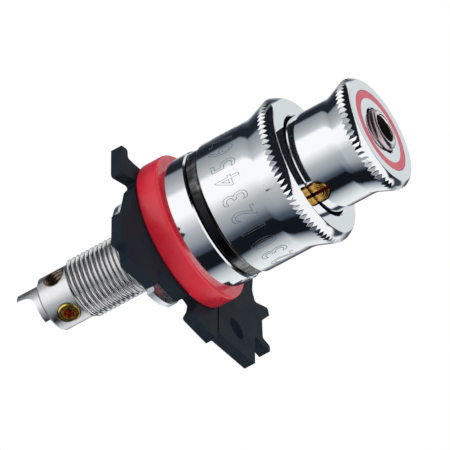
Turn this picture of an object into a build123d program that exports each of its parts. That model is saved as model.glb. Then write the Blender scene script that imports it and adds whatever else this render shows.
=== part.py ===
from build123d import *
import math
import os

os.makedirs("parts", exist_ok=True)

# A panel binding post with a 4 mm plug socket in its cap, modelled in millimetres.
# The post lies along Y, front towards -Y, and its origin is the middle of the seat on the panel.
# Each piece is drawn in the turning frame, with the front towards +Z, and laid down at the end.

# Clearances
slip_gap = 0.05
face_gap = 0.05
turn_gap = 0.1
overrun = 1.0
edge_break = 0.2

# Gauge plate behind the flange
plate_thickness = 1.7
plate_reach = 22.6
plate_corner_radius = 0.35
slit_width = 0.3
foot_hole_radius = 1.65

# Insulating flange
flange_radius = 11.1
flange_width = 4.0
flange_front_round = 0.9
flange_rear_round = 0.5
flange_floor = 1.2
spigot_radius = 6.0
spigot_length = 2.6

# Base of the post
collar_radius = 9.82
collar_width = 3.2
hub_radius = 8.0
shaft_radius = 5.0
shaft_length = 13.4
shaft_flat_distance = 4.55
neck_radius = 4.0
neck_length = 8.9
stud_socket_depth = 3.0
plug_depth = 19.6
wire_hole_radius = 1.75
wire_hole_from_collar = 2.4

# Threaded sleeve that carries the fixing nut
thread_radius = 4.5
thread_end_chamfer = 0.45
sleeve_bore_radius = 3.5
sleeve_head_radius = 6.5
sleeve_head_thickness = 1.2
sleeve_tail_length = 14.9

# Rear conductor with its clamp tube and solder cup
tube_radius = 4.05
tube_length = 4.9
tube_chamfer = 0.3
wire_bore_radius = 2.0
wire_bore_depth_past_tube = 3.0
clamp_hole_radius = 1.7
clamp_hole_from_thread = 1.95
cup_radius = 3.3
cup_wall = 0.7
cup_length = 3.7
cup_low_wall = 1.0
cup_tongue_from_axis = 2.6
cup_scoop_depth = 1.5
cup_notch_from_axis = 1.7
cup_turn = -122.0

# Clamp screw, flush in the tube's side; the hole in its top stands open
clamp_screw_sink = 0.05
clamp_screw_length = 1.9
clamp_screw_chamfer = 0.25
lobe_circle_radius = 0.72
lobe_radius = 0.24
lobe_depth = 0.7
lobe_count = 6
side_angle = 180.0
top_angle = 90.0

# Fixing nut
fixing_nut_radius = 7.9
fixing_nut_thickness = 1.2
panel_room = 3.25
spanner_slot_width = 2.0
spanner_slot_depth = 0.9
spanner_slot_count = 4

# Pressure ring
ring_radius = 9.55
ring_width = 1.85
ring_round = 0.4
ring_seat_radius = 8.6
ring_seat_depth = 0.45

# Clamp nut
nut_radius = 9.88
nut_length = 13.7
nut_rear_round = 0.7
nut_knurl_radius = 11.12
nut_knurl_width = 1.1
nut_rim_width = 1.4
nut_face_radius = 10.15
nut_flare_length = 2.1
nut_cove_radius = 6.7
nut_thread_length = 6.4
nut_knurl_count = 80
nut_bore_chamfer = 0.2

# Cap
cap_radius = 7.3
cap_length = 11.7
cap_knurl_radius = 8.52
cap_knurl_width = 0.9
cap_rim_width = 1.0
cap_face_radius = 7.79
cap_flare_length = 1.9
cap_cove_radius = 6.0
cap_knurl_count = 62
cap_mouth_radius = 3.42
cap_from_stop = 0.3
cap_room = 0.4
knurl_depth = 0.45
knurl_end_chamfer = 0.25

# Stop ring on the neck
stop_radius = 6.6
stop_thickness = 0.7

# Inlay ring in the cap's face
inlay_outer_radius = 6.1
inlay_width = 1.13
inlay_depth = 1.0
inlay_sink = 0.03

# Plug socket tube
socket_radius = 3.18
socket_proud = 0.8
socket_bore_radius = 2.05
socket_floor = 1.3
socket_lip_round = 0.5
socket_mouth_chamfer = 0.12
socket_shoulder_radius = 3.9
socket_shoulder_width = 0.9

# Lock screw in the cap
lock_screw_radius = 1.66
lock_screw_length = 2.8
lock_screw_angle = 177.0
lock_screw_from_nut_face = 0.25
lock_screw_sink = 0.04
lock_slot_width = 0.55
lock_slot_depth = 0.6

# Places along the post, measured forward from the panel seat
flange_back = plate_thickness
flange_front = flange_back + flange_width
floor_front = flange_back + flange_floor
head_front = floor_front + sleeve_head_thickness
collar_front = flange_front + collar_width
shaft_front = collar_front + shaft_length
neck_front = shaft_front + neck_length
stud_front = head_front + stud_socket_depth
wire_hole_place = collar_front + wire_hole_from_collar
ring_back = collar_front + turn_gap
ring_front = ring_back + ring_width
nut_back = ring_front + face_gap
nut_shoulder = nut_back + nut_thread_length
nut_face = nut_back + nut_length
stop_front = shaft_front + stop_thickness
cap_back = stop_front + cap_from_stop
cap_face = cap_back + cap_length
socket_mouth = cap_face + socket_proud
socket_back = socket_mouth - plug_depth - socket_floor
shoulder_back = neck_front + turn_gap + turn_gap
shoulder_front = shoulder_back + socket_shoulder_width
thread_back = -sleeve_tail_length
tube_back = thread_back - tube_length
cup_back = tube_back - cup_length
clamp_hole_place = thread_back - clamp_hole_from_thread
fixing_nut_front = -panel_room
fixing_nut_back = fixing_nut_front - fixing_nut_thickness
spigot_back = -spigot_length
lock_screw_place = nut_face + lock_screw_from_nut_face
inlay_inner_radius = inlay_outer_radius - inlay_width

# Outline of the gauge plate as shares of its reach, (x, y) going round from the slit
foot_outline_shares = [
    (-0.500, -0.425), (-0.376, -0.835), (-0.093, -0.832), (-0.084, -1.000), (-0.018, -1.000),
    (-0.018, -0.920), (0.150, -0.912), (0.283, -0.991), (0.345, -0.978), (0.252, -0.832),
    (0.336, -0.801), (0.496, -0.810), (0.628, -0.398), (0.509, 0.044), (0.332, 0.288),
]
arm_outline_shares = [
    (0.208, 0.434), (0.181, 0.520), (0.172, 0.574), (0.252, 0.581), (0.219, 0.650),
    (-0.053, 0.646), (0.058, 0.450), (-0.058, 0.505), (-0.324, 0.549), (-0.438, 0.632),
    (-0.726, 0.631), (-0.704, 0.557), (-0.766, 0.533), (-0.832, 0.531), (-0.739, 0.237),
    (-0.584, 0.234), (-0.522, -0.075), (-0.420, -0.135), (-0.430, -0.194), (-0.504, -0.184),
    (-0.622, -0.140), (-0.582, -0.408),
]
slit_end_share = -0.133
shared_edge_share = 0.49
foot_hole_shares = (-0.243, -0.628)


def shaped_face(corners):
    """A face from (x, y), (x, y, rounding) or (x, y, 0, chamfer) corners, in order."""
    count = len(corners)
    starts, ends, middles = [], [], []
    for i, (x, y, *shape) in enumerate(corners):
        here = Vector(x, y)
        before = Vector(*corners[i - 1][:2]) - here
        after = Vector(*corners[(i + 1) % count][:2]) - here
        half_turn = math.radians(before.get_angle(after)) / 2
        rounding = shape[0] if shape else 0
        wanted = shape[1] if len(shape) > 1 else rounding / math.tan(half_turn)
        reach = min(wanted, corner_room(corners, i, -1), corner_room(corners, i, 1))
        starts.append(here + before.normalized() * reach)
        ends.append(here + after.normalized() * reach)
        bisector = (before.normalized() + after.normalized()).normalized()
        radius = reach * math.tan(half_turn)
        sagitta = radius / math.sin(half_turn) - radius
        middles.append(here + bisector * sagitta if rounding else None)
    edges = []
    for i in range(count):
        if middles[i]:
            edges.append(ThreePointArc(starts[i], middles[i], ends[i]))
        elif (ends[i] - starts[i]).length > 0:
            edges.append(Line(starts[i], ends[i]))
        if (starts[(i + 1) % count] - ends[i]).length > 0:
            edges.append(Line(ends[i], starts[(i + 1) % count]))
    return make_face(edges)


def corner_room(corners, i, step):
    """How far a corner's rounding may reach towards the next corner on that side."""
    beside = corners[(i + step) % len(corners)]
    length = (Vector(*beside[:2]) - Vector(*corners[i][:2])).length
    return length * (shared_edge_share if len(beside) > 2 and any(beside[2:]) else 1)


def turned(corners):
    """A solid of revolution about the post's axis, from a face of (radius, place) corners."""
    return revolve(Plane.XZ * shaped_face(corners), Axis.Z)


def rim_corner(radius, back, face_radius, face):
    """The corner whose rounding swells from a knurl's front end to the edge of the face."""
    half_turn = math.atan2(radius - face_radius, face - back)
    swell = (face - back) / math.sin(2 * half_turn)
    return (radius, back + swell * math.tan(half_turn), swell)


def bore(radius, back, front):
    """A round hole's core along the post's axis."""
    return Pos(0, 0, (back + front) / 2) * Cylinder(radius, front - back)


def radial(angle, place, shape):
    """Lays a shape drawn along +Z so that +Z points outwards at an angle round the post."""
    return Pos(0, 0, place) * Rot(0, 0, angle) * Rot(0, 90, 0) * shape


def knurl_grooves(radius, depth, count, back, front):
    """V grooves along the post, cut into a rim of the given radius."""
    tip = radius + depth / count
    points = []
    for i in range(count):
        for half, size in ((0.0, tip), (0.5, radius - depth)):
            angle = 2 * math.pi * (i + half) / count
            points.append((size * math.cos(angle), size * math.sin(angle)))
    star = make_face(Polyline(*points, close=True))
    band = Pos(0, 0, back) * extrude(Circle(radius + overrun) - star, front - back)
    return band


def make_gauge_plate():
    """The flat plate with hooks, a slit foot and a screw hole, seated behind the flange."""
    slit_y = foot_outline_shares[0][1] * plate_reach
    outline = [(x * plate_reach, y * plate_reach, plate_corner_radius)
               for x, y in foot_outline_shares + arm_outline_shares]
    plate = extrude(shaped_face(outline), plate_thickness)
    slit_inner = slit_end_share * plate_reach
    slit_outer = -plate_reach
    slit_middle = (slit_inner + slit_outer) / 2
    slit = Box(slit_inner - slit_outer, slit_width, plate_thickness + 2 * overrun)
    plate -= Pos(slit_middle, slit_y, plate_thickness / 2) * slit
    plate -= bore(spigot_radius + slip_gap, -overrun, plate_thickness + overrun)
    foot_hole = bore(foot_hole_radius, -overrun, plate_thickness + overrun)
    hole_x, hole_y = (share * plate_reach for share in foot_hole_shares)
    return plate - Pos(hole_x, hole_y, 0) * foot_hole


def make_insulating_flange():
    """The coloured ring with its cup for the post's hub and its spigot through the panel."""
    return turned([
        (thread_radius + slip_gap, spigot_back),
        (spigot_radius, spigot_back, 0, edge_break),
        (spigot_radius, flange_back),
        (flange_radius, flange_back, flange_rear_round),
        (flange_radius, flange_front, flange_front_round),
        (hub_radius + slip_gap, flange_front),
        (hub_radius + slip_gap, floor_front),
        (thread_radius + slip_gap, floor_front),
    ])


def make_base_post():
    """Collar, hub, shaft and neck turned in one piece, with the wire hole across the shaft."""
    body = turned([
        (0, floor_front),
        (hub_radius, floor_front),
        (hub_radius, flange_front),
        (collar_radius, flange_front),
        (collar_radius, collar_front, 0, edge_break),
        (shaft_radius, collar_front),
        (shaft_radius, shaft_front, 0, edge_break),
        (neck_radius, shaft_front),
        (neck_radius, neck_front, 0, edge_break),
        (0, neck_front),
    ])
    flat_width = shaft_radius - shaft_flat_distance
    flat = Box(flat_width, 2 * shaft_radius, shaft_length)
    for side in (-1, 1):
        middle = side * (shaft_flat_distance + flat_width / 2)
        body -= Pos(middle, 0, collar_front + shaft_length / 2) * flat
    body -= bore(sleeve_head_radius + slip_gap, floor_front - overrun, head_front)
    body -= bore(sleeve_bore_radius, floor_front, stud_front + slip_gap)
    body -= bore(socket_radius + slip_gap, socket_back - turn_gap, neck_front + overrun)
    body -= radial(0, wire_hole_place, Cylinder(wire_hole_radius, 2 * shaft_radius + 2 * overrun))
    return body


def make_threaded_sleeve():
    """The fixing thread's sleeve, with a head held between the flange's floor and the hub."""
    return turned([
        (sleeve_bore_radius, thread_back),
        (thread_radius - thread_end_chamfer, thread_back),
        (thread_radius, thread_back + thread_end_chamfer),
        (thread_radius, floor_front),
        (sleeve_head_radius, floor_front),
        (sleeve_head_radius, head_front),
        (sleeve_bore_radius, head_front),
    ])


def make_rear_conductor():
    """The clamp tube with its stud forward into the hub and its open solder cup behind."""
    body = turned([
        (0, tube_back),
        (tube_radius - tube_chamfer, tube_back),
        (tube_radius, tube_back + tube_chamfer),
        (tube_radius, thread_back),
        (sleeve_bore_radius - slip_gap, thread_back),
        (sleeve_bore_radius - slip_gap, stud_front),
        (0, stud_front),
    ])
    body += make_cup()
    body -= bore(cup_radius - cup_wall, cup_back - overrun, tube_back)
    body -= bore(wire_bore_radius, tube_back - overrun, thread_back + wire_bore_depth_past_tube)
    drill = Pos(0, 0, (tube_radius + overrun) / 2) * Cylinder(clamp_hole_radius, tube_radius + overrun)
    for angle in (side_angle, top_angle):
        body -= radial(angle, clamp_hole_place, drill)
    return body


def make_cup():
    """The solder cup: a low wall, a scooped side and a tongue, seen from the side as an outline."""
    tongue = -cup_tongue_from_axis
    low_wall = tube_back - cup_low_wall
    outer = cup_radius + overrun
    scoop_foot = tongue + cup_scoop_depth
    scoop = Bezier((tongue, cup_back), (tongue, low_wall), (scoop_foot, low_wall))
    side = make_face([
        Line((-outer, tube_back), (-outer, cup_back)),
        Line((-outer, cup_back), (tongue, cup_back)),
        scoop,
        Line((scoop_foot, low_wall), (cup_notch_from_axis, low_wall)),
        Line((cup_notch_from_axis, low_wall), (cup_notch_from_axis, tube_back)),
        Line((cup_notch_from_axis, tube_back), (-outer, tube_back)),
    ])
    prism = extrude(Plane.XZ * side, outer, both=True)
    return bore(cup_radius, cup_back, tube_back) & Rot(0, 0, cup_turn) * prism


def make_side_clamp_screw():
    """A headless screw with a lobed recess, flush in the tube's side hole."""
    top = tube_radius - clamp_screw_sink
    radius = clamp_hole_radius - slip_gap
    screw = turned([
        (0, top - clamp_screw_length),
        (radius, top - clamp_screw_length, 0, edge_break),
        (radius, top, 0, clamp_screw_chamfer),
        (0, top),
    ])
    recess = Circle(lobe_circle_radius)
    recess += PolarLocations(lobe_circle_radius, lobe_count) * Circle(lobe_radius)
    screw -= Pos(0, 0, top - lobe_depth) * extrude(recess, lobe_depth + overrun)
    return radial(side_angle, clamp_hole_place, screw)


def make_fixing_nut():
    """A thin round nut on the fixing thread, with slots for a spanner."""
    nut = turned([
        (thread_radius + slip_gap, fixing_nut_back),
        (fixing_nut_radius, fixing_nut_back, 0, edge_break),
        (fixing_nut_radius, fixing_nut_front, 0, edge_break),
        (thread_radius + slip_gap, fixing_nut_front),
    ])
    slot = Box(2 * spanner_slot_depth, spanner_slot_width, fixing_nut_thickness + 2 * overrun)
    middle = (fixing_nut_front + fixing_nut_back) / 2
    for place in PolarLocations(fixing_nut_radius, spanner_slot_count):
        nut -= Pos(0, 0, middle) * place * slot
    return nut


def make_pressure_ring():
    """The dark ring that is pressed on the wire, keyed to the shaft's flats."""
    ring = turned([
        (shaft_flat_distance + slip_gap, ring_back),
        (ring_radius, ring_back, ring_round),
        (ring_radius, ring_front, ring_round),
        (ring_seat_radius, ring_front),
        (ring_seat_radius, ring_front - ring_seat_depth),
        (shaft_flat_distance + slip_gap, ring_front - ring_seat_depth),
    ])
    opening = bore(shaft_radius + slip_gap, ring_back - overrun, ring_front + overrun)
    keyed_width = 2 * (shaft_flat_distance + slip_gap)
    keyed = Box(keyed_width, 2 * shaft_radius + 2 * overrun, 2 * (ring_width + overrun))
    return ring - (opening & Pos(0, 0, ring_front) * keyed)


def make_spring_disc():
    """The thin spring disc between the pressure ring and the nut."""
    return turned([
        (shaft_radius + slip_gap, ring_front - ring_seat_depth + slip_gap),
        (ring_seat_radius - turn_gap, ring_front - ring_seat_depth + slip_gap),
        (ring_seat_radius - turn_gap, ring_front - slip_gap),
        (shaft_radius + slip_gap, ring_front - slip_gap),
    ])


def make_clamp_nut():
    """The large nut: plain barrel, cove, knurled rim and flat face, open for the cap."""
    knurl_front = nut_face - nut_rim_width
    knurl_back = knurl_front - nut_knurl_width
    cove_place = knurl_back - nut_flare_length
    nut = turned([
        (shaft_radius + slip_gap, nut_back, 0, nut_bore_chamfer),
        (nut_radius, nut_back, nut_rear_round),
        (nut_radius, cove_place, nut_cove_radius),
        (nut_knurl_radius, knurl_back, 0, knurl_end_chamfer),
        rim_corner(nut_knurl_radius, knurl_front, nut_face_radius, nut_face),
        (nut_face_radius, nut_face),
        (cap_radius + cap_room, nut_face, 0, nut_bore_chamfer),
        (cap_radius + cap_room, nut_shoulder),
        (shaft_radius + slip_gap, nut_shoulder),
    ])
    return nut - knurl_grooves(nut_knurl_radius, knurl_depth, nut_knurl_count, cove_place, knurl_front)


def make_stop_ring():
    """The ring on the neck that ends the clamp nut's travel."""
    return turned([
        (neck_radius + slip_gap, shaft_front),
        (stop_radius, shaft_front),
        (stop_radius, stop_front),
        (neck_radius + slip_gap, stop_front),
    ])


def make_cap():
    """The knurled cap that turns on the neck, with a groove for the inlay in its face."""
    knurl_front = cap_face - cap_rim_width
    knurl_back = knurl_front - cap_knurl_width
    cove_place = knurl_back - cap_flare_length
    cap = turned([
        (neck_radius + slip_gap, cap_back),
        (cap_radius, cap_back, 0, edge_break),
        (cap_radius, cove_place, cap_cove_radius),
        (cap_knurl_radius, knurl_back, 0, knurl_end_chamfer),
        rim_corner(cap_knurl_radius, knurl_front, cap_face_radius, cap_face),
        (cap_face_radius, cap_face),
        (cap_mouth_radius, cap_face, 0, edge_break),
        (cap_mouth_radius, shoulder_front + face_gap),
        (neck_radius + slip_gap, shoulder_front + face_gap),
    ])
    cap -= turned([
        (inlay_inner_radius, cap_face - inlay_depth),
        (inlay_outer_radius, cap_face - inlay_depth),
        (inlay_outer_radius, cap_face + overrun),
        (inlay_inner_radius, cap_face + overrun),
    ])
    drill = Pos(0, 0, cap_radius / 2 + overrun / 2) * Cylinder(lock_screw_radius + slip_gap, cap_radius + overrun)
    cap -= radial(lock_screw_angle, lock_screw_place, drill)
    return cap - knurl_grooves(cap_knurl_radius, knurl_depth, cap_knurl_count, cove_place, knurl_front)


def make_inlay_ring():
    """The coloured ring let into the cap's face."""
    return turned([
        (inlay_inner_radius, cap_face - inlay_depth),
        (inlay_outer_radius, cap_face - inlay_depth),
        (inlay_outer_radius, cap_face - inlay_sink),
        (inlay_inner_radius, cap_face - inlay_sink),
    ])


def make_socket_tube():
    """The blind tube that takes the plug, with a rounded lip and a shoulder under the cap."""
    return turned([
        (0, socket_back),
        (socket_radius, socket_back, 0, edge_break),
        (socket_radius, shoulder_back),
        (socket_shoulder_radius, shoulder_back),
        (socket_shoulder_radius, shoulder_front),
        (socket_radius, shoulder_front),
        (socket_radius, socket_mouth, socket_lip_round),
        (socket_bore_radius, socket_mouth, 0, socket_mouth_chamfer),
        (socket_bore_radius, socket_mouth - plug_depth),
        (0, socket_mouth - plug_depth),
    ])


def make_lock_screw():
    """The slotted headless screw in the cap's side, its slot along the post."""
    top = cap_radius - lock_screw_sink
    screw = turned([
        (0, top - lock_screw_length),
        (lock_screw_radius, top - lock_screw_length, 0, edge_break),
        (lock_screw_radius, top, 0, edge_break),
        (0, top),
    ])
    slot = Box(2 * lock_screw_radius + overrun, lock_slot_width, 2 * lock_slot_depth)
    screw -= Pos(0, 0, top) * slot
    return radial(lock_screw_angle, lock_screw_place, screw)


pieces = {
    "gauge_plate": make_gauge_plate,
    "insulating_flange": make_insulating_flange,
    "base_post": make_base_post,
    "threaded_sleeve": make_threaded_sleeve,
    "rear_conductor": make_rear_conductor,
    "side_clamp_screw": make_side_clamp_screw,
    "fixing_nut": make_fixing_nut,
    "pressure_ring": make_pressure_ring,
    "spring_disc": make_spring_disc,
    "clamp_nut": make_clamp_nut,
    "stop_ring": make_stop_ring,
    "cap": make_cap,
    "inlay_ring": make_inlay_ring,
    "socket_tube": make_socket_tube,
    "lock_screw": make_lock_screw,
}

for name, make in pieces.items():
    laid = Rot(90, 0, 0) * make()
    export_step(laid, "parts/" + name + ".step")
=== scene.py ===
import math

import bmesh
import bpy
from mathutils import Matrix, Vector


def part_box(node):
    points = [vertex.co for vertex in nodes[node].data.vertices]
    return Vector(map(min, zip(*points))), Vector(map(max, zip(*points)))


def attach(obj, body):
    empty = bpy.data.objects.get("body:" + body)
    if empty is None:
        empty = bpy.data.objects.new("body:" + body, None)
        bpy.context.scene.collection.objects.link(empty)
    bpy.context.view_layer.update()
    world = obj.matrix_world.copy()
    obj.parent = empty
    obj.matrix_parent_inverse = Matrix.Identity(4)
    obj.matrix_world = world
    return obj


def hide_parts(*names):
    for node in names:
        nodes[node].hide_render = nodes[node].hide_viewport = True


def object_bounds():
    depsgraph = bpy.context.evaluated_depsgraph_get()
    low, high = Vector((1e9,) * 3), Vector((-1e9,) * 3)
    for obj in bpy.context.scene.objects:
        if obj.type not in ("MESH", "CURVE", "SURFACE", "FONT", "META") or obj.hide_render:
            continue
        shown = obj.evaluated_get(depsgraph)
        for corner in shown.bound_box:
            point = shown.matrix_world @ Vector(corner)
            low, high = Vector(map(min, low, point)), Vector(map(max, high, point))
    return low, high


MM = 0.001

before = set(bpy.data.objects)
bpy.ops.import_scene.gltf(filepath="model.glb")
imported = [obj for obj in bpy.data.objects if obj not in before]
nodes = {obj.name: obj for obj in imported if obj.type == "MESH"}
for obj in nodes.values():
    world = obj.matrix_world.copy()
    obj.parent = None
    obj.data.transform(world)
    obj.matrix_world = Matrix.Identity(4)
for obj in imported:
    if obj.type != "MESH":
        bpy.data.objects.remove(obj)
cad_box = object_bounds()

# Photograph: its side in pixels, pixels per millimetre, where the flange's middle stands in it,
# and how the post lies
picture_size = 450
picture_scale = 7.2
flange_pixel = Vector((180, 237))
camera_distance = 1500 * MM
clip_factor = 10
sensor_width = 36
post_slope = math.radians(28.0)
post_tilt = math.radians(19.6)
plate_turn = math.radians(58.0)

# The post's own directions: forward, down in the picture, and towards the viewer
forward = Vector((0, -1, 0))
downward = Vector((-math.cos(plate_turn), 0, -math.sin(plate_turn)))
outward = Vector((-math.sin(plate_turn), 0, math.cos(plate_turn)))

# Fine thread on the sleeve behind the plate, places measured backward along the post
sleeve_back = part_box("threaded_sleeve")[1].y
sleeve_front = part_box("threaded_sleeve")[0].y
sleeve_head_thickness = 1.2 * MM
sleeve_head_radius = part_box("threaded_sleeve")[1].x
sleeve_bore_radius = 3.5 * MM
thread_radius = 4.5 * MM
thread_depth = 0.44 * MM
thread_pitch = 0.75 * MM
thread_front = 1.8 * MM
thread_root_share = 0.18
thread_flank_share = 0.66
thread_columns = 96
thread_rows = 8

# Thread in the open clamp hole, its place measured backward along the post
clamp_hole_radius = 1.7 * MM
clamp_hole_place = 16.85 * MM
clamp_thread_pitch = 0.5 * MM
clamp_thread_depth = 0.2 * MM
clamp_thread_foot = 1.9 * MM
clamp_thread_inset = 0.06 * MM
clamp_thread_columns = 48
clamp_thread_rows = 6
tube_radius = 4.05 * MM

# Plain numbers round the nut's barrel
nut_radius = 9.88 * MM
numeral_count = 24
numeral_digits = 10
numeral_height = 4.0 * MM
numeral_height_share = 0.72
numeral_line = 0.15 * MM
numeral_curve_steps = 6
numeral_width_share = 0.62
numeral_proud = 0.03 * MM
numeral_inset = 6.0 * MM
numeral_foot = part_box("clamp_nut")[1].y - numeral_inset
numeral_start = math.radians(38)

# Flange, and the collar's foot in front of it, places measured forward along the post
flange_radius = 11.1 * MM
flange_back = 1.7 * MM
flange_front = 5.2 * MM
flange_front_round = 0.45 * MM
flange_rear_round = 0.4 * MM
flange_round_steps = 8
flange_floor = 2.9 * MM
flange_bore_radius = 4.55 * MM
spigot_radius = 6.0 * MM
spigot_back = -1.0 * MM
hub_radius = 8.0 * MM
hub_gap = 0.05 * MM
collar_radius = 9.82 * MM
collar_back = 5.7 * MM

# Clamp nut, cap, inlay and socket, places measured forward along the post
nut_back = 10.9 * MM
nut_shoulder = 17.3 * MM
nut_face = 24.1 * MM
nut_bore_radius = 5.05 * MM
nut_rear_round = 0.15 * MM
nut_round_steps = 6
nut_cove_place = 18.1 * MM
nut_cone_slope = math.radians(19.5)
nut_crest_radius = 11.12 * MM
nut_crest_back = 22.4 * MM
nut_crest_front = 22.5 * MM
nut_face_radius = 10.2 * MM
nut_mouth_radius = 7.7 * MM
nut_nose_slope = math.radians(15)
nut_teeth = 80
cap_back = 23.3 * MM
cap_face = 35.0 * MM
cap_radius = 7.3 * MM
cap_neck_radius = 4.05 * MM
cap_cove_place = 29.9 * MM
cap_cone_slope = math.radians(22)
cap_crest_radius = 8.52 * MM
cap_crest_back = 33.55 * MM
cap_crest_front = 34.0 * MM
cap_face_radius = 7.7 * MM
cap_mouth_radius = 3.42 * MM
cap_mouth_floor = 32.35 * MM
cap_nose_slope = math.radians(27)
cap_teeth = 62
groove_outer_radius = 6.25 * MM
groove_inner_radius = 4.97 * MM
groove_depth = 1.0 * MM
groove_floor = cap_face - groove_depth
inlay_outer_gap = 0.06 * MM
inlay_inner_gap = 0.02 * MM
tooth_depth = 0.22 * MM
tooth_columns = 6
cove_steps = 14
nose_steps = 10
rim_steps = 5
edge_break = 0.15 * MM
socket_radius = 3.18 * MM
socket_bore_radius = 2.05 * MM
socket_middle_radius = 0.02 * MM
socket_back = 14.9 * MM
socket_floor = 16.2 * MM
socket_shoulder_back = 31.4 * MM
socket_shoulder_front = 32.3 * MM
socket_shoulder_radius = 3.9 * MM
socket_dome_place = 35.0 * MM
socket_dome_steps = 12
socket_mouth = 35.8 * MM
socket_lip_radius = 2.32 * MM
socket_lip_steps = 6
socket_columns = 144
lathe_columns = 192

# Lock screw in the cap's side, and the drill that cuts its hole
lock_hole_radius = 1.8 * MM
lock_screw_place = 24.85 * MM
lock_screw_angle = math.radians(177)
lock_screw_sunk = 0.04 * MM
drill_middle = 10 * MM
drill_length = 12 * MM
drill_columns = 96

# Mesh upkeep: points closer than this become one, and edges sharper than these degrees stay hard
weld_distance = 0.0005 * MM
thread_edge_angle = 50
plain_edge_angle = 30
knurl_edge_angle = 19

# Floor
floor_drop = 250 * MM
floor_size = 6.0

# Studio round the post: (angle round the post in degrees, brightness) from the viewer's side,
# positive towards the picture's lower edge. One row beside the post, two before and one behind it
side_strips = (
    (-180, 0.62), (-168, 0.50), (-156, 0.10), (-138, 0.02), (-118, 0.02), (-112, 0.30), (-90, 0.42),
    (-74, 0.60), (-66, 1.00), (-28, 1.00), (0, 0.50), (22, 0.32), (35, 0.11), (41, 0.07),
    (45, 0.010), (73, 0.010), (80, 0.24), (92, 0.52), (112, 0.80), (140, 0.90), (150, 0.40),
    (158, 0.12), (180, 0.15),
)
front_strips = (
    (-180, 0.74), (-150, 0.74), (-120, 0.95), (118, 0.95), (126, 0.06), (142, 0.06), (150, 0.74),
    (180, 0.74),
)
nose_strips = (
    (-180, 0.04), (-150, 0.04), (-138, 0.95), (104, 0.95), (112, 0.02), (180, 0.04),
)
back_strips = (
    (-180, 0.35), (-140, 0.15), (-134, 0.02), (-92, 0.02), (-80, 0.5), (-60, 0.95), (-30, 0.95),
    (0, 0.62), (40, 0.5), (60, 0.35), (75, 0.03), (140, 0.03), (155, 0.5), (180, 0.35),
)

# How far forward a direction points where one row gives way to the next
front_zone = (0.02, 0.16)
nose_zone = (0.44, 0.54)
pole_zone = (0.92, 0.97)
pole_level = 0.98
back_zone = (-0.80, -0.95)

# The strips of the lower half widen towards the back
bend_zone = (-0.38, -0.92)
bend_share = 0.85

# A dark card beside the front rows: the way it faces, its soft edge and its brightness
card_side = Vector((-0.422, 0.530, -0.736))
card_edge = (-0.02, 0.04)
card_level = 0.012

# Tints of dark and middle greys, and the strength of the soft light from below and from above
mid_level = 0.4
white_level = 0.9
mid_tint = Vector((0.93, 0.98, 1.0))
dark_tint = Vector((0.62, 0.85, 1.25))
soft_levels = (0.62, 1.2)


def make_camera():
    """The camera at the photograph's place: a long lens that looks along the turned post."""
    cos_slope, sin_slope = math.cos(post_slope), math.sin(post_slope)
    cos_tilt, sin_tilt = math.cos(post_tilt), math.sin(post_tilt)
    right = forward * cos_tilt * cos_slope + downward * sin_slope - outward * sin_tilt * cos_slope
    up = forward * cos_tilt * sin_slope - downward * cos_slope - outward * sin_tilt * sin_slope
    back = forward * sin_tilt + outward * cos_tilt
    flange_middle = Vector((0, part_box("gauge_plate")[0].y, 0))
    shift = (Vector((picture_size, picture_size)) / 2 - flange_pixel) / picture_scale * MM
    target = flange_middle + right * shift.x - up * shift.y
    data = bpy.data.cameras.new("photo_camera")
    data.sensor_width = sensor_width
    field = picture_size / picture_scale * MM
    data.lens = sensor_width * camera_distance / field
    data.clip_start = camera_distance / clip_factor
    data.clip_end = camera_distance * clip_factor
    camera = bpy.data.objects.new("photo_camera", data)
    turn = Matrix((right, up, back)).transposed().to_4x4()
    camera.matrix_world = Matrix.Translation(target + back * camera_distance) @ turn
    bpy.context.scene.collection.objects.link(camera)
    bpy.context.scene.camera = camera


def link(tree, source, socket):
    """Feeds a socket from another socket or sets it to a plain value."""
    if isinstance(source, (int, float, tuple)):
        socket.default_value = source
    else:
        tree.links.new(source, socket)


def node_math(tree, operation, first, second=None, clamp=False):
    """One math node; inputs are sockets or numbers."""
    node = tree.nodes.new("ShaderNodeMath")
    node.operation = operation
    node.use_clamp = clamp
    link(tree, first, node.inputs[0])
    if second is not None:
        link(tree, second, node.inputs[1])
    return node.outputs[0]


def vector_math(tree, operation, first, second=None):
    """The outputs of one vector math node, fed by a socket and a plain vector."""
    node = tree.nodes.new("ShaderNodeVectorMath")
    node.operation = operation
    link(tree, first, node.inputs[0])
    if second is not None:
        node.inputs[1].default_value = second
    return node.outputs


def along(tree, direction, axis):
    """How far a direction points along an axis."""
    return vector_math(tree, "DOT_PRODUCT", direction, axis)["Value"]


def from_line(tree, place, foot=(0, 0, 0), direction=(0, 1, 0)):
    """Distance of the shaded point from a line, or from the post's axis if no line is given."""
    offset = vector_math(tree, "SUBTRACT", place, foot)["Vector"]
    cross = vector_math(tree, "CROSS_PRODUCT", offset, direction)["Vector"]
    return vector_math(tree, "LENGTH", cross)["Value"]


def spread(tree, value, low, high, start=0.0, end=1.0, smooth=True):
    """Maps a value between two limits to another pair of limits."""
    node = tree.nodes.new("ShaderNodeMapRange")
    node.interpolation_type = "SMOOTHSTEP" if smooth else "LINEAR"
    link(tree, value, node.inputs["Value"])
    node.inputs["From Min"].default_value = low
    node.inputs["From Max"].default_value = high
    node.inputs["To Min"].default_value = start
    node.inputs["To Max"].default_value = end
    return node.outputs["Result"]


def mix_color(tree, share, first, second, blend="MIX"):
    """Mixes two colours by a share."""
    node = tree.nodes.new("ShaderNodeMix")
    node.data_type = "RGBA"
    node.blend_type = blend
    link(tree, share, node.inputs["Factor"])
    link(tree, first, node.inputs["A"])
    link(tree, second, node.inputs["B"])
    return node.outputs["Result"]


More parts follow.
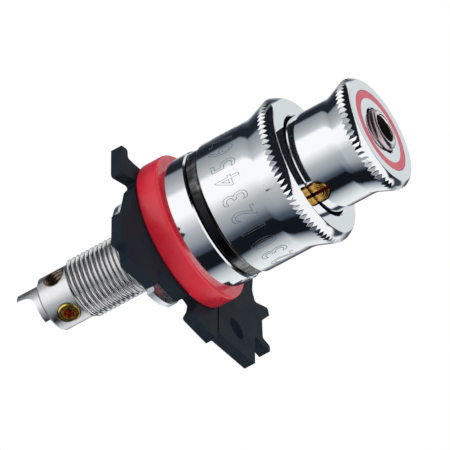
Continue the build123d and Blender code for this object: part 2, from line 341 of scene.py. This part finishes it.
def mix_shader(tree, share, first, second):
    """Mixes two shaders by a share."""
    node = tree.nodes.new("ShaderNodeMixShader")
    link(tree, share, node.inputs["Fac"])
    link(tree, first, node.inputs[1])
    link(tree, second, node.inputs[2])
    return node.outputs[0]


def color_ramp(tree, share, stops):
    """A colour ramp from (place, (r, g, b)) stops."""
    node = tree.nodes.new("ShaderNodeValToRGB")
    link(tree, share, node.inputs["Fac"])
    elements = node.color_ramp.elements
    while len(elements) < len(stops):
        elements.new(0.5)
    for element, (place, color) in zip(elements, stops):
        element.position = place
        element.color = (*color, 1)
    return node.outputs["Color"]


def background(tree, color=(1, 1, 1, 1), strength=1.0):
    """A sky shader; its colour and strength are sockets or plain values."""
    node = tree.nodes.new("ShaderNodeBackground")
    link(tree, color, node.inputs["Color"])
    link(tree, strength, node.inputs["Strength"])
    return node.outputs[0]


def tinted(level):
    """A studio grey: bluish in the dark, nearly neutral in the light."""
    share = min(level / mid_level, 1)
    tint = dark_tint.lerp(mid_tint, share) if level < white_level else Vector((1, 1, 1))
    return tuple(tint * level)


def make_world():
    """A studio with long soft boxes and dark cards that lie along the post.

    Only mirror rays see the strips. Soft light comes from a plain white sky, and the camera
    sees white.
    """
    world = bpy.data.worlds.new("studio")
    bpy.context.scene.world = world
    world.use_nodes = True
    tree = world.node_tree
    tree.nodes.clear()
    place = tree.nodes.new("ShaderNodeTexCoord").outputs["Generated"]
    ahead = along(tree, place, forward)
    angle = node_math(tree, "ARCTAN2", along(tree, place, downward), along(tree, place, outward))
    bend = spread(tree, ahead, *bend_zone, 1, 1 + bend_share, smooth=False)
    lower = node_math(tree, "DIVIDE", node_math(tree, "MAXIMUM", angle, 0.0), bend)
    angle = node_math(tree, "ADD", lower, node_math(tree, "MINIMUM", angle, 0.0))
    share = node_math(tree, "DIVIDE", angle, 2 * math.pi)
    share = node_math(tree, "ADD", share, 0.5, clamp=True)
    rows = []
    for strips in (side_strips, front_strips, nose_strips, back_strips):
        stops = [(degrees / 360 + 0.5, tinted(level)) for degrees, level in strips]
        rows.append(color_ramp(tree, share, stops))
    front = spread(tree, ahead, *front_zone)
    color = mix_color(tree, front, rows[0], rows[1])
    color = mix_color(tree, spread(tree, ahead, *nose_zone), color, rows[2])
    color = mix_color(tree, spread(tree, ahead, *back_zone), color, rows[3])
    color = mix_color(tree, spread(tree, ahead, *pole_zone), color, (*tinted(pole_level), 1))
    card = forward * card_side.x + outward * card_side.y + downward * card_side.z
    card = spread(tree, along(tree, place, card), *card_edge)
    card = node_math(tree, "MULTIPLY", card, front)
    color = mix_color(tree, card, color, (*tinted(card_level), 1))
    height = along(tree, place, (0, 0, 1))
    soft = background(tree, strength=spread(tree, height, -1, 1, *soft_levels, smooth=False))
    path = tree.nodes.new("ShaderNodeLightPath")
    lit = mix_shader(tree, path.outputs["Is Glossy Ray"], soft, background(tree, color))
    seen = mix_shader(tree, path.outputs["Is Camera Ray"], lit, background(tree))
    output = tree.nodes.new("ShaderNodeOutputWorld")
    link(tree, seen, output.inputs["Surface"])


def new_material(name, color, metallic, roughness):
    """A material with the shader's plain values set; detail is added by the caller."""
    material = bpy.data.materials.new(name)
    material.use_nodes = True
    tree = material.node_tree
    shader = tree.nodes["Principled BSDF"]
    shader.inputs["Base Color"].default_value = (*color, 1)
    shader.inputs["Metallic"].default_value = metallic
    shader.inputs["Roughness"].default_value = roughness
    return material, tree, shader


def object_place(tree):
    """Where the shaded point is, in the post's frame."""
    return tree.nodes.new("ShaderNodeTexCoord").outputs["Object"]


def stretched(tree, place, scale):
    """The place with each axis stretched, for long or fine grain."""
    node = tree.nodes.new("ShaderNodeMapping")
    link(tree, place, node.inputs["Vector"])
    node.inputs["Scale"].default_value = scale
    return node.outputs["Vector"]


def noise(tree, place, grain, detail=3.0, rough=0.55):
    """Noise whose patches measure about grain metres."""
    node = tree.nodes.new("ShaderNodeTexNoise")
    link(tree, place, node.inputs["Vector"])
    node.inputs["Scale"].default_value = 1 / grain
    node.inputs["Detail"].default_value = detail
    node.inputs["Roughness"].default_value = rough
    return node.outputs["Fac"]


def turning_marks(tree, place, grain):
    """Fine lines round the post, as a lathe leaves them."""
    return noise(tree, stretched(tree, place, (0.02, 1, 0.02)), grain, detail=2.0)


def paint(tree, shader, share, shade, light):
    """Colours a shader by a share, from a darker to a lighter colour."""
    color = mix_color(tree, share, (*shade, 1), (*light, 1))
    link(tree, color, shader.inputs["Base Color"])


def polish(tree, shader, share, low, high, limits=(0.3, 0.7)):
    """Gives a shader its roughness by a share, from a smoother to a rougher value."""
    link(tree, spread(tree, share, *limits, low, high), shader.inputs["Roughness"])


def relief(tree, shader, height, depth):
    """Bump of the given depth in metres."""
    node = tree.nodes.new("ShaderNodeBump")
    node.inputs["Strength"].default_value = 1.0
    node.inputs["Distance"].default_value = depth
    link(tree, height, node.inputs["Height"])
    link(tree, node.outputs["Normal"], shader.inputs["Normal"])


def make_chrome():
    """Polished chrome with a faint haze and turning marks round the post."""
    material, tree, shader = new_material("chrome", (0.93, 0.95, 0.97), 1.0, 0.06)
    place = object_place(tree)
    haze = noise(tree, place, grain=3 * MM)
    marks = turning_marks(tree, place, grain=0.12 * MM)
    mixed = node_math(tree, "MULTIPLY", haze, marks)
    polish(tree, shader, mixed, low=0.045, high=0.09, limits=(0.1, 0.4))
    relief(tree, shader, noise(tree, place, grain=0.35 * MM), depth=0.0015 * MM)
    return material


def make_nickel():
    """Bright nickel with painted shade in the thread's roots, and faintly stained."""
    material, tree, shader = new_material("nickel", (0.86, 0.84, 0.83), 1.0, 0.2)
    place = object_place(tree)
    stain = noise(tree, place, grain=1.2 * MM)
    # Painted shade in the thread's roots: the colour darkens from half the thread's depth down to
    # its core radius, and stays dark nearer the axis.
    core = thread_radius - thread_depth
    root = spread(tree, from_line(tree, place), core, core + thread_depth / 2)
    light = mix_color(tree, stain, (0.90, 0.88, 0.88, 1), (0.99, 0.97, 0.96, 1))
    color = mix_color(tree, root, (0.34, 0.34, 0.36, 1), light)
    link(tree, color, shader.inputs["Base Color"])
    polish(tree, shader, stain, low=0.16, high=0.27)
    relief(tree, shader, noise(tree, place, grain=0.2 * MM), depth=0.004 * MM)
    return material


def make_satin_nickel(name, shade, light):
    """Satin nickel with a fine blasted grain."""
    material, tree, shader = new_material(name, light, 1.0, 0.3)
    place = object_place(tree)
    stain = noise(tree, place, grain=1.5 * MM)
    paint(tree, shader, stain, shade, light)
    polish(tree, shader, stain, low=0.24, high=0.36)
    relief(tree, shader, noise(tree, place, grain=0.12 * MM), depth=0.004 * MM)
    return material


def make_brass(name, foot, way, rim_radius, depth, light, shade, roughness, groove, painted_groove_shade):
    """A brass screw's head: turned rings, with painted shade in one groove and at the rim, and dark
    red painted shade in the recess.

    The head's middle is at foot and faces way. The groove's place is a share of the rim's radius.
    """
    material, tree, shader = new_material(name, light, 1.0, roughness)
    place = object_place(tree)
    stain = noise(tree, place, grain=0.5 * MM)
    top = Vector(foot).dot(Vector(way))
    # Painted shade in the recess: the colour turns dark red from about a third of its depth down to
    # its bottom.
    floor = spread(tree, along(tree, place, way), top - depth, top - depth * 0.35)
    bright = mix_color(tree, spread(tree, stain, 0.35, 0.65), (*light, 1), (*shade, 1))
    color = mix_color(tree, floor, (0.34, 0.05, 0.012, 1), bright)
    away = from_line(tree, place, foot, way)
    plain = (1, 1, 1)
    # Painted shade: a darker ring at the groove and a dark line at the rim, multiplied over the
    # colour.
    painted_shade_stops = (
        (groove - 0.09, plain), (groove - 0.03, painted_groove_shade), (groove + 0.03, painted_groove_shade),
        (groove + 0.09, plain), (0.90, plain), (0.98, (0.22, 0.15, 0.09)),
    )
    painted_ring_shade = color_ramp(tree, node_math(tree, "DIVIDE", away, rim_radius), painted_shade_stops)
    color = mix_color(tree, 1.0, color, painted_ring_shade, "MULTIPLY")
    link(tree, color, shader.inputs["Base Color"])
    polish(tree, shader, stain, low=roughness * 0.8, high=roughness * 1.3)
    ring_pitch = 0.32 * MM
    rings = node_math(tree, "SINE", node_math(tree, "MULTIPLY", away, 2 * math.pi / ring_pitch))
    rings = node_math(tree, "MULTIPLY", rings, 0.3)
    height = node_math(tree, "ADD", rings, noise(tree, place, grain=0.25 * MM))
    relief(tree, shader, height, depth=0.02 * MM)
    return material


def make_black_plastic():
    """Blue-black moulded plastic with a fine grain and paler rubbed patches."""
    shade = (0.008, 0.013, 0.020)
    material, tree, shader = new_material("black_plastic", shade, 0.0, 0.45)
    place = object_place(tree)
    shader.inputs["Specular IOR Level"].default_value = 0.3
    shader.inputs["IOR"].default_value = 1.12
    cloud = noise(tree, place, grain=4 * MM)
    paint(tree, shader, cloud, shade, (0.019, 0.029, 0.039))
    polish(tree, shader, cloud, low=0.38, high=0.52)
    relief(tree, shader, noise(tree, place, grain=0.15 * MM, detail=4.0), depth=0.012 * MM)
    return material


def make_red_plastic(name, shade, light):
    """Clear bright red moulded plastic with a soft gloss."""
    material, tree, shader = new_material(name, light, 0.0, 0.32)
    place = object_place(tree)
    cloud = noise(tree, place, grain=3 * MM)
    paint(tree, shader, cloud, shade, light)
    polish(tree, shader, cloud, low=0.26, high=0.4)
    shader.inputs["Coat Weight"].default_value = 0.25
    shader.inputs["Coat Roughness"].default_value = 0.2
    relief(tree, shader, noise(tree, place, grain=0.3 * MM, detail=4.0), depth=0.006 * MM)
    return material


def make_smoked_metal():
    """Smoke-dark metal, marbled with paler streaks, and paler beside its middle from a painted
    highlight.
    """
    material, tree, shader = new_material("smoked_metal", (0.1, 0.1, 0.1), 1.0, 0.25)
    place = object_place(tree)
    lengthened = stretched(tree, place, (1, 0.4, 1))
    streak = noise(tree, lengthened, grain=2.4 * MM, detail=5.0, rough=0.6)
    # Painted highlight: the streaks grow paler away from the middle, on the sides that face up and
    # down.
    beside = node_math(tree, "ABSOLUTE", along(tree, place, downward))
    beside = spread(tree, beside, 3.0 * MM, 8.0 * MM, -0.12, 0.10)
    streak = node_math(tree, "ADD", streak, beside)
    stops = ((0.40, (0.022, 0.022, 0.024)), (0.54, (0.10, 0.10, 0.10)), (0.70, (0.50, 0.48, 0.47)))
    link(tree, color_ramp(tree, streak, stops), shader.inputs["Base Color"])
    polish(tree, shader, streak, low=0.16, high=0.34)
    relief(tree, shader, streak, depth=0.03 * MM)
    return material


def make_rose_chrome():
    """Polished socket metal with a faint rose tone and turning marks, and painted shade on the side
    wall that grows lighter, as painted light, towards its lower side.
    """
    material, tree, shader = new_material("rose_chrome", (0.9, 0.82, 0.84), 1.0, 0.08)
    place = object_place(tree)
    marks = turning_marks(tree, place, grain=0.1 * MM)
    # Painted shade and light on the outer wall beyond the lip: dark above, lighter towards the
    # lower side.
    wall_start = socket_lip_radius + 0.1 * MM
    wall_end = socket_lip_radius + 0.35 * MM
    side = spread(tree, from_line(tree, place), wall_start, wall_end)
    lit = spread(tree, along(tree, place, downward), 0.5 * MM, 1.6 * MM)
    painted_wall_shading = mix_color(tree, lit, (0.40, 0.30, 0.32, 1), (0.66, 0.56, 0.60, 1))
    color = mix_color(tree, marks, (0.90, 0.82, 0.84, 1), (0.96, 0.92, 0.93, 1))
    link(tree, mix_color(tree, side, color, painted_wall_shading), shader.inputs["Base Color"])
    polish(tree, shader, marks, low=0.15, high=0.22)
    return material


def make_painted_shade_bore():
    """Painted shade for the inside of the socket: a dull near-black, with fine turning marks."""
    material, tree, shader = new_material("painted_shade_bore", (0.02, 0.018, 0.016), 0.6, 0.5)
    marks = turning_marks(tree, object_place(tree), grain=0.2 * MM)
    paint(tree, shader, marks, (0.006, 0.006, 0.005), (0.05, 0.045, 0.04))
    return material


def make_engraving():
    """Grey etched lines."""
    material, tree, shader = new_material("etched_line", (0.25, 0.26, 0.28), 1.0, 0.45)
    speckle = noise(tree, object_place(tree), grain=0.1 * MM)
    paint(tree, shader, speckle, (0.16, 0.17, 0.19), (0.34, 0.35, 0.38))
    return material


def dress(node, material):
    """Gives a CAD node its material."""
    slots = nodes[node].data.materials
    slots.clear()
    slots.append(material)


def object_of(name, bm):
    """A new object in the scene from mesh code, which is freed."""
    mesh = bpy.data.meshes.new(name)
    bm.to_mesh(mesh)
    bm.free()
    thing = bpy.data.objects.new(name, mesh)
    bpy.context.scene.collection.objects.link(thing)
    return thing


def smooth_by_angle(piece, degrees):
    """Smooth shading with hard edges kept."""
    for face in piece.data.polygons:
        face.use_smooth = True
    modifier = piece.modifiers.new("hard_edges", "EDGE_SPLIT")
    modifier.split_angle = math.radians(degrees)


def add_piece(name, bm, material, body, edge_angle=plain_edge_angle):
    """Makes a piece of the object from mesh code and ties it to its body."""
    bmesh.ops.remove_doubles(bm, verts=bm.verts, dist=weld_distance)
    bmesh.ops.dissolve_degenerate(bm, edges=bm.edges, dist=weld_distance)
    bmesh.ops.recalc_face_normals(bm, faces=bm.faces)
    piece = object_of(name, bm)
    piece.data.materials.append(material)
    smooth_by_angle(piece, edge_angle)
    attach(piece, body)
    return piece


def spot(radius, place, angle):
    """A point from its distance to the Y axis, its place along it and its angle round it."""
    return (radius * math.cos(angle), place, radius * math.sin(angle))


def ring(bm, radius, place, columns):
    """One ring of points round the Y axis."""
    turn = 2 * math.pi / columns
    return [bm.verts.new(spot(radius, place, i * turn)) for i in range(columns)]


def skin(bm, rings):
    """Faces between neighbouring closed rings of points."""
    for low, high in zip(rings, rings[1:]):
        for i in range(len(low)):
            j = (i + 1) % len(low)
            bm.faces.new((low[i], low[j], high[j], high[i]))


def turned(outline, columns=lathe_columns):
    """A turned shape from a lathe outline of (radius, place) points, places measured forward."""
    bm = bmesh.new()
    skin(bm, [ring(bm, radius, -place, columns) for radius, place in outline])
    return bm


def turned_band(inner, outer, back, front):
    """A turned band with a rectangular section."""
    return turned([(inner, back), (outer, back), (outer, front), (inner, front), (inner, back)])


def quarter(radius, place, across, ahead, start, steps):
    """Points over a quarter turn round a middle, with their reach across and along the post."""
    points = []
    for i in range(steps + 1):
        turn = start + math.pi / 2 * i / steps
        points.append((radius + across * math.cos(turn), place + ahead * math.sin(turn)))
    return points


def swept(near, far, first, last, steps):
    """Points on a curve from one (radius, place) to another, bending from one slope to another."""
    points = []
    for i in range(steps + 1):
        turn = first + (last - first) * i / steps
        across = (math.cos(first) - math.cos(turn)) / (math.cos(first) - math.cos(last))
        ahead = (math.sin(turn) - math.sin(first)) / (math.sin(last) - math.sin(first))
        points.append((near[0] + (far[0] - near[0]) * across, near[1] + (far[1] - near[1]) * ahead))
    return points


def helix(bm, radius_at, pitch, start, end, columns, rows):
    """A right-handed screw surface round the Y axis between two places."""
    turns = math.ceil((end - start) / pitch) + 1
    grid = []
    for k in range((turns + 1) * rows + 1):
        line = []
        for i in range(columns):
            place = start + pitch * (k / rows - i / columns)
            place = min(max(place, start), end)
            radius = radius_at(k / rows % 1, place)
            line.append(bm.verts.new(spot(radius, place, 2 * math.pi * i / columns)))
        grid.append(line)
    for k in range(len(grid) - rows - 1):
        for i in range(columns - 1):
            bm.faces.new((grid[k][i], grid[k][i + 1], grid[k + 1][i + 1], grid[k + 1][i]))
        last_low = grid[k + rows][columns - 1]
        last_high = grid[k + rows + 1][columns - 1]
        bm.faces.new((last_low, grid[k][0], grid[k + 1][0], last_high))


def tooth(share):
    """Height of the thread's V over one pitch, 1 at the crest and 0 in the root."""
    height = (abs(2 * share - 1) - thread_root_share) / thread_flank_share
    return min(max(height, 0), 1)


def make_sleeve():
    """The sleeve with its fine thread, from the tube to the head inside the hub."""
    core = thread_radius - thread_depth

    def radius_at(share, place):
        run_out = min(place - thread_front, sleeve_back - place)
        return core + min(thread_depth * tooth(share), run_out)

    bm = bmesh.new()
    helix(bm, radius_at, thread_pitch, thread_front, sleeve_back, thread_columns, thread_rows)
    head_back = sleeve_front + sleeve_head_thickness
    outline = (
        (core, sleeve_back), (sleeve_bore_radius, sleeve_back), (sleeve_bore_radius, sleeve_front),
        (sleeve_head_radius, sleeve_front), (sleeve_head_radius, head_back),
        (thread_radius, head_back), (thread_radius, thread_front), (core, thread_front),
    )
    skin(bm, [ring(bm, radius, place, thread_columns) for radius, place in outline])
    sleeve = add_piece("sleeve_with_thread", bm, nickel, "post", thread_edge_angle)
    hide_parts("threaded_sleeve")


def knurled(behind, before, barrel, cove_place, cone, crest, crest_back, crest_front, slope, rim,
            face, teeth):
    """A turned piece whose crest is cut by V grooves that run out on the cove and on the nose.

    Its outline takes the points behind, the cove from the barrel to the cone, the crest, the nose
    from its first slope down to the rim, and the points before.
    """
    rise = 1 - math.cos(cone)
    cove = ((crest_back - cove_place) * math.sin(cone) - (crest - barrel) * math.cos(cone)) / rise
    cone_foot = (barrel + cove * rise, cove_place + cove * math.sin(cone))
    nose_end = 2 * math.atan2(crest - rim, face - crest_front) - slope
    nose_tip = (rim + edge_break * math.cos(nose_end), face - edge_break * (1 - math.sin(nose_end)))
    columns = teeth * tooth_columns
    bm = bmesh.new()
    rows = []
    for i in range(columns):
        groove_share = 1 - abs(2 * (i % tooth_columns) / tooth_columns - 1)
        top = crest - tooth_depth * groove_share
        fall = (crest - top) / (crest - nose_tip[0])
        turn = math.acos(math.cos(slope) - fall * (math.cos(slope) - math.cos(nose_end)))
        ahead = (math.sin(turn) - math.sin(slope)) / (math.sin(nose_end) - math.sin(slope))
        nose_foot = (top, crest_front + (nose_tip[1] - crest_front) * ahead)
        points = list(behind)
        points += swept((barrel, cove_place), cone_foot, 0, cone, cove_steps)
        points.append((top, cone_foot[1] + (top - cone_foot[0]) / math.tan(cone)))
        points += swept(nose_foot, nose_tip, turn, nose_end, nose_steps)
        points += swept(nose_tip, (rim, face), nose_end, math.pi / 2, rim_steps)[1:]
        points += before
        angle = 2 * math.pi * i / columns
        rows.append([bm.verts.new(spot(radius, -place, angle)) for radius, place in points])
    skin(bm, rows + rows[:1])
    bmesh.ops.recalc_face_normals(bm, faces=bm.faces)
    return bm


def drilled(bm, radius, place, angle):
    """Cuts a round hole into one side of a turned piece, square to the post."""
    lay = Matrix.Rotation(-angle, 4, "Y") @ Matrix.Translation((drill_middle, 0, 0))
    lay = Matrix.Translation((0, -place, 0)) @ (lay @ Matrix.Rotation(math.pi / 2, 4, "Y"))
    drill = bmesh.new()
    bmesh.ops.create_cone(drill, cap_ends=True, segments=drill_columns, radius1=radius,
                          radius2=radius, depth=drill_length, matrix=lay)
    work = object_of("work", bm)
    tool = object_of("tool", drill)
    cut = work.modifiers.new("hole", "BOOLEAN")
    cut.object = tool
    cut.operation = "DIFFERENCE"
    cut.solver = "EXACT"
    depsgraph = bpy.context.evaluated_depsgraph_get()
    result = bmesh.new()
    result.from_mesh(bpy.data.meshes.new_from_object(work.evaluated_get(depsgraph)))
    bpy.data.objects.remove(work)
    bpy.data.objects.remove(tool)
    return result


def make_clamp_nut():
    """The large nut, with its cove, its fine knurl and its mirror face."""
    behind = [(nut_bore_radius, nut_shoulder), (nut_bore_radius, nut_back)]
    behind += quarter(nut_radius - nut_rear_round, nut_back + nut_rear_round, nut_rear_round,
                      nut_rear_round, -math.pi / 2, nut_round_steps)
    before = [
        (nut_mouth_radius + edge_break, nut_face), (nut_mouth_radius, nut_face - edge_break),
        (nut_mouth_radius, nut_shoulder),
    ]
    bm = knurled(
        behind, before, barrel=nut_radius, cove_place=nut_cove_place, cone=nut_cone_slope,
        crest=nut_crest_radius, crest_back=nut_crest_back, crest_front=nut_crest_front,
        slope=nut_nose_slope, rim=nut_face_radius, face=nut_face, teeth=nut_teeth,
    )
    nut = add_piece("nut_with_knurl", bm, chrome, "nut", knurl_edge_angle)
    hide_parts("clamp_nut")


def make_cap():
    """The cap, with its cove, its fine knurl, the inlay's groove and the lock screw's hole."""
    behind = [
        (cap_neck_radius, cap_mouth_floor), (cap_neck_radius, cap_back),
        (cap_radius - edge_break, cap_back), (cap_radius, cap_back + edge_break),
    ]
    before = [
        (groove_outer_radius, cap_face), (groove_outer_radius, groove_floor),
        (groove_inner_radius, groove_floor), (groove_inner_radius, cap_face),
        (cap_mouth_radius + edge_break, cap_face), (cap_mouth_radius, cap_face - edge_break),
        (cap_mouth_radius, cap_mouth_floor),
    ]
    bm = knurled(
        behind, before, barrel=cap_radius, cove_place=cap_cove_place, cone=cap_cone_slope,
        crest=cap_crest_radius, crest_back=cap_crest_back, crest_front=cap_crest_front,
        slope=cap_nose_slope, rim=cap_face_radius, face=cap_face, teeth=cap_teeth,
    )
    bm = drilled(bm, lock_hole_radius, lock_screw_place, lock_screw_angle)
    cap = add_piece("cap_with_knurl", bm, chrome, "knob", knurl_edge_angle)
    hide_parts("cap")


def make_inlay():
    """The red band in the cap's groove."""
    inner = groove_inner_radius + inlay_inner_gap
    outer = groove_outer_radius - inlay_outer_gap
    bm = turned_band(inner, outer, groove_floor, cap_face)
    band = add_piece("inlay_band", bm, inlay_plastic, "knob")
    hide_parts("inlay_ring")


def make_flange():
    """The red ring, as narrow and as crisp as the photograph shows it, and the collar's foot."""
    inner = hub_radius + hub_gap
    outline = [
        (flange_bore_radius, spigot_back), (spigot_radius, spigot_back),
        (spigot_radius, flange_back),
    ]
    outline += quarter(flange_radius - flange_rear_round, flange_back + flange_rear_round,
                       flange_rear_round, flange_rear_round, -math.pi / 2, flange_round_steps)
    outline += quarter(flange_radius - flange_front_round, flange_front - flange_front_round,
                       flange_front_round, flange_front_round, 0, flange_round_steps)
    outline += [(inner, flange_front), (inner, flange_floor), (flange_bore_radius, flange_floor)]
    outline.append(outline[0])
    flange = add_piece("flange_ring", turned(outline), red_plastic, "post")
    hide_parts("insulating_flange")
    foot = turned_band(hub_radius, collar_radius, flange_front, collar_back)
    add_piece("collar_foot", foot, chrome, "post")


def make_socket():
    """The plug's tube with its domed lip."""
    lip_round = socket_lip_radius - socket_bore_radius
    outline = [
        (socket_middle_radius, socket_back), (socket_radius - edge_break, socket_back),
        (socket_radius, socket_back + edge_break), (socket_radius, socket_shoulder_back),
        (socket_shoulder_radius, socket_shoulder_back),
        (socket_shoulder_radius, socket_shoulder_front), (socket_radius, socket_shoulder_front),
    ]
    outline += quarter(socket_lip_radius, socket_dome_place, socket_radius - socket_lip_radius,
                       socket_mouth - socket_dome_place, 0, socket_dome_steps)
    outline += quarter(socket_lip_radius, socket_mouth - lip_round, lip_round, lip_round,
                       math.pi / 2, socket_lip_steps)[1:]
    outline += [(socket_bore_radius, socket_floor), (socket_middle_radius, socket_floor)]
    bm = turned(outline, socket_columns)
    socket = add_piece("socket_with_lip", bm, rose_chrome, "socket")
    # Painted shade: the bore's wall and floor take the near-black material.
    socket.data.materials.append(painted_shade_bore)
    for face in socket.data.polygons:
        radius = math.hypot(face.center.x, face.center.z)
        if radius < socket_bore_radius and -face.center.y > socket_floor - edge_break:
            face.material_index = 1
    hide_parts("socket_tube")


def make_clamp_hole_thread():
    """Thread turns in the open hole of the clamp tube, cut off by the tube's round."""
    bm = bmesh.new()

    def radius_at(share, place):
        return clamp_hole_radius - clamp_thread_depth * tooth(share)

    helix(bm, radius_at, clamp_thread_pitch, clamp_thread_foot, tube_radius, clamp_thread_columns,
          clamp_thread_rows)
    for vertex in bm.verts:
        across, height, lengthwise = vertex.co
        tube_height = math.sqrt(tube_radius ** 2 - across ** 2)
        height = min(height, tube_height - clamp_thread_inset)
        vertex.co = (across, clamp_hole_place + lengthwise, height)
    add_piece("clamp_hole_thread", bm, hole_metal, "post", thread_edge_angle)


def make_numerals():
    """Plain numbers etched in outline round the nut's barrel."""
    bm = bmesh.new()
    for number in range(numeral_count):
        text = bpy.data.curves.new("numeral", "FONT")
        text.body = str(number % numeral_digits)
        text.size = numeral_height / numeral_height_share
        text.align_x = "CENTER"
        text.fill_mode = "NONE"
        text.bevel_depth = numeral_line / 2
        text.bevel_resolution = 1
        text.resolution_u = numeral_curve_steps
        carrier = bpy.data.objects.new("numeral", text)
        mesh = bpy.data.meshes.new_from_object(carrier)
        middle = numeral_start - number * 2 * math.pi / numeral_count
        for vertex in mesh.vertices:
            reading, height, proud = vertex.co
            angle = middle - reading * numeral_width_share / nut_radius
            radius = nut_radius - numeral_line / 2 + numeral_proud + proud
            across = outward * math.cos(angle) + downward * math.sin(angle)
            vertex.co = across * radius - forward * height + Vector((0, numeral_foot, 0))
        bm.from_mesh(mesh)
        bpy.data.objects.remove(carrier)
    add_piece("nut_numerals", bm, etched_line, "nut", thread_edge_angle)


def make_floor():
    """A white floor well below the post, left out of mirror rays and plain white to the camera."""
    bm = bmesh.new()
    bmesh.ops.create_grid(bm, x_segments=1, y_segments=1, size=floor_size / 2)
    floor = object_of("floor", bm)
    floor.location = (0, 0, cad_box[0].z - floor_drop)
    material, tree, shader = new_material("floor_paper", (0.9, 0.9, 0.9), 0.0, 0.9)
    path = tree.nodes.new("ShaderNodeLightPath")
    glow = tree.nodes.new("ShaderNodeEmission")
    clear = tree.nodes.new("ShaderNodeBsdfTransparent")
    seen = mix_shader(tree, path.outputs["Is Camera Ray"], shader.outputs[0], glow.outputs[0])
    mixed = mix_shader(tree, path.outputs["Is Glossy Ray"], seen, clear.outputs[0])
    link(tree, mixed, tree.nodes["Material Output"].inputs["Surface"])
    floor.data.materials.append(material)


# The middle of each brass screw's head, and the way the lock screw's head faces
side_screw_foot = (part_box("side_clamp_screw")[0].x, clamp_hole_place, 0)
lock_screw_way = Vector((math.cos(lock_screw_angle), 0, math.sin(lock_screw_angle)))
lock_screw_foot = lock_screw_way * (cap_radius - lock_screw_sunk) - Vector((0, lock_screw_place, 0))

chrome = make_chrome()
nickel = make_nickel()
satin_nickel = make_satin_nickel("satin_nickel", (0.78, 0.79, 0.82), (0.93, 0.90, 0.90))
pale_nickel = make_satin_nickel("pale_nickel", (0.88, 0.92, 0.95), (0.96, 0.98, 1.0))
hole_metal = make_satin_nickel("hole_metal", (0.20, 0.13, 0.08), (0.42, 0.31, 0.24))
side_brass = make_brass(
    "side_brass", side_screw_foot, (-1, 0, 0), rim_radius=1.65 * MM, depth=0.7 * MM,
    light=(1.0, 0.74, 0.24), shade=(0.90, 0.56, 0.12), roughness=0.28,
    groove=0.72, painted_groove_shade=(0.52, 0.40, 0.24),
)
lock_brass = make_brass(
    "lock_brass", lock_screw_foot, lock_screw_way, rim_radius=1.66 * MM, depth=0.6 * MM,
    light=(0.62, 0.38, 0.09), shade=(0.36, 0.18, 0.04), roughness=0.2,
    groove=0.5, painted_groove_shade=(0.85, 0.8, 0.75),
)
# Painted shade for the socket's bore.
painted_shade_bore = make_painted_shade_bore()
black_plastic = make_black_plastic()
red_plastic = make_red_plastic("red_plastic", (0.60, 0.010, 0.026), (0.74, 0.024, 0.050))
inlay_plastic = make_red_plastic("inlay_plastic", (0.56, 0.035, 0.07), (0.70, 0.055, 0.10))
smoked_metal = make_smoked_metal()
rose_chrome = make_rose_chrome()
etched_line = make_engraving()

finishes = {
    "gauge_plate": black_plastic,
    "insulating_flange": red_plastic,
    "base_post": chrome,
    "threaded_sleeve": nickel,
    "rear_conductor": satin_nickel,
    "side_clamp_screw": side_brass,
    "fixing_nut": pale_nickel,
    "pressure_ring": smoked_metal,
    "spring_disc": nickel,
    "clamp_nut": chrome,
    "stop_ring": nickel,
    "cap": chrome,
    "inlay_ring": inlay_plastic,
    "socket_tube": rose_chrome,
    "lock_screw": lock_brass,
}
for name, material in finishes.items():
    dress(name, material)

make_sleeve()
make_flange()
make_clamp_nut()
make_cap()
make_inlay()
make_socket()
make_clamp_hole_thread()
make_numerals()
make_floor()
make_camera()
make_world()

bpy.context.scene.view_settings.view_transform = "Standard"
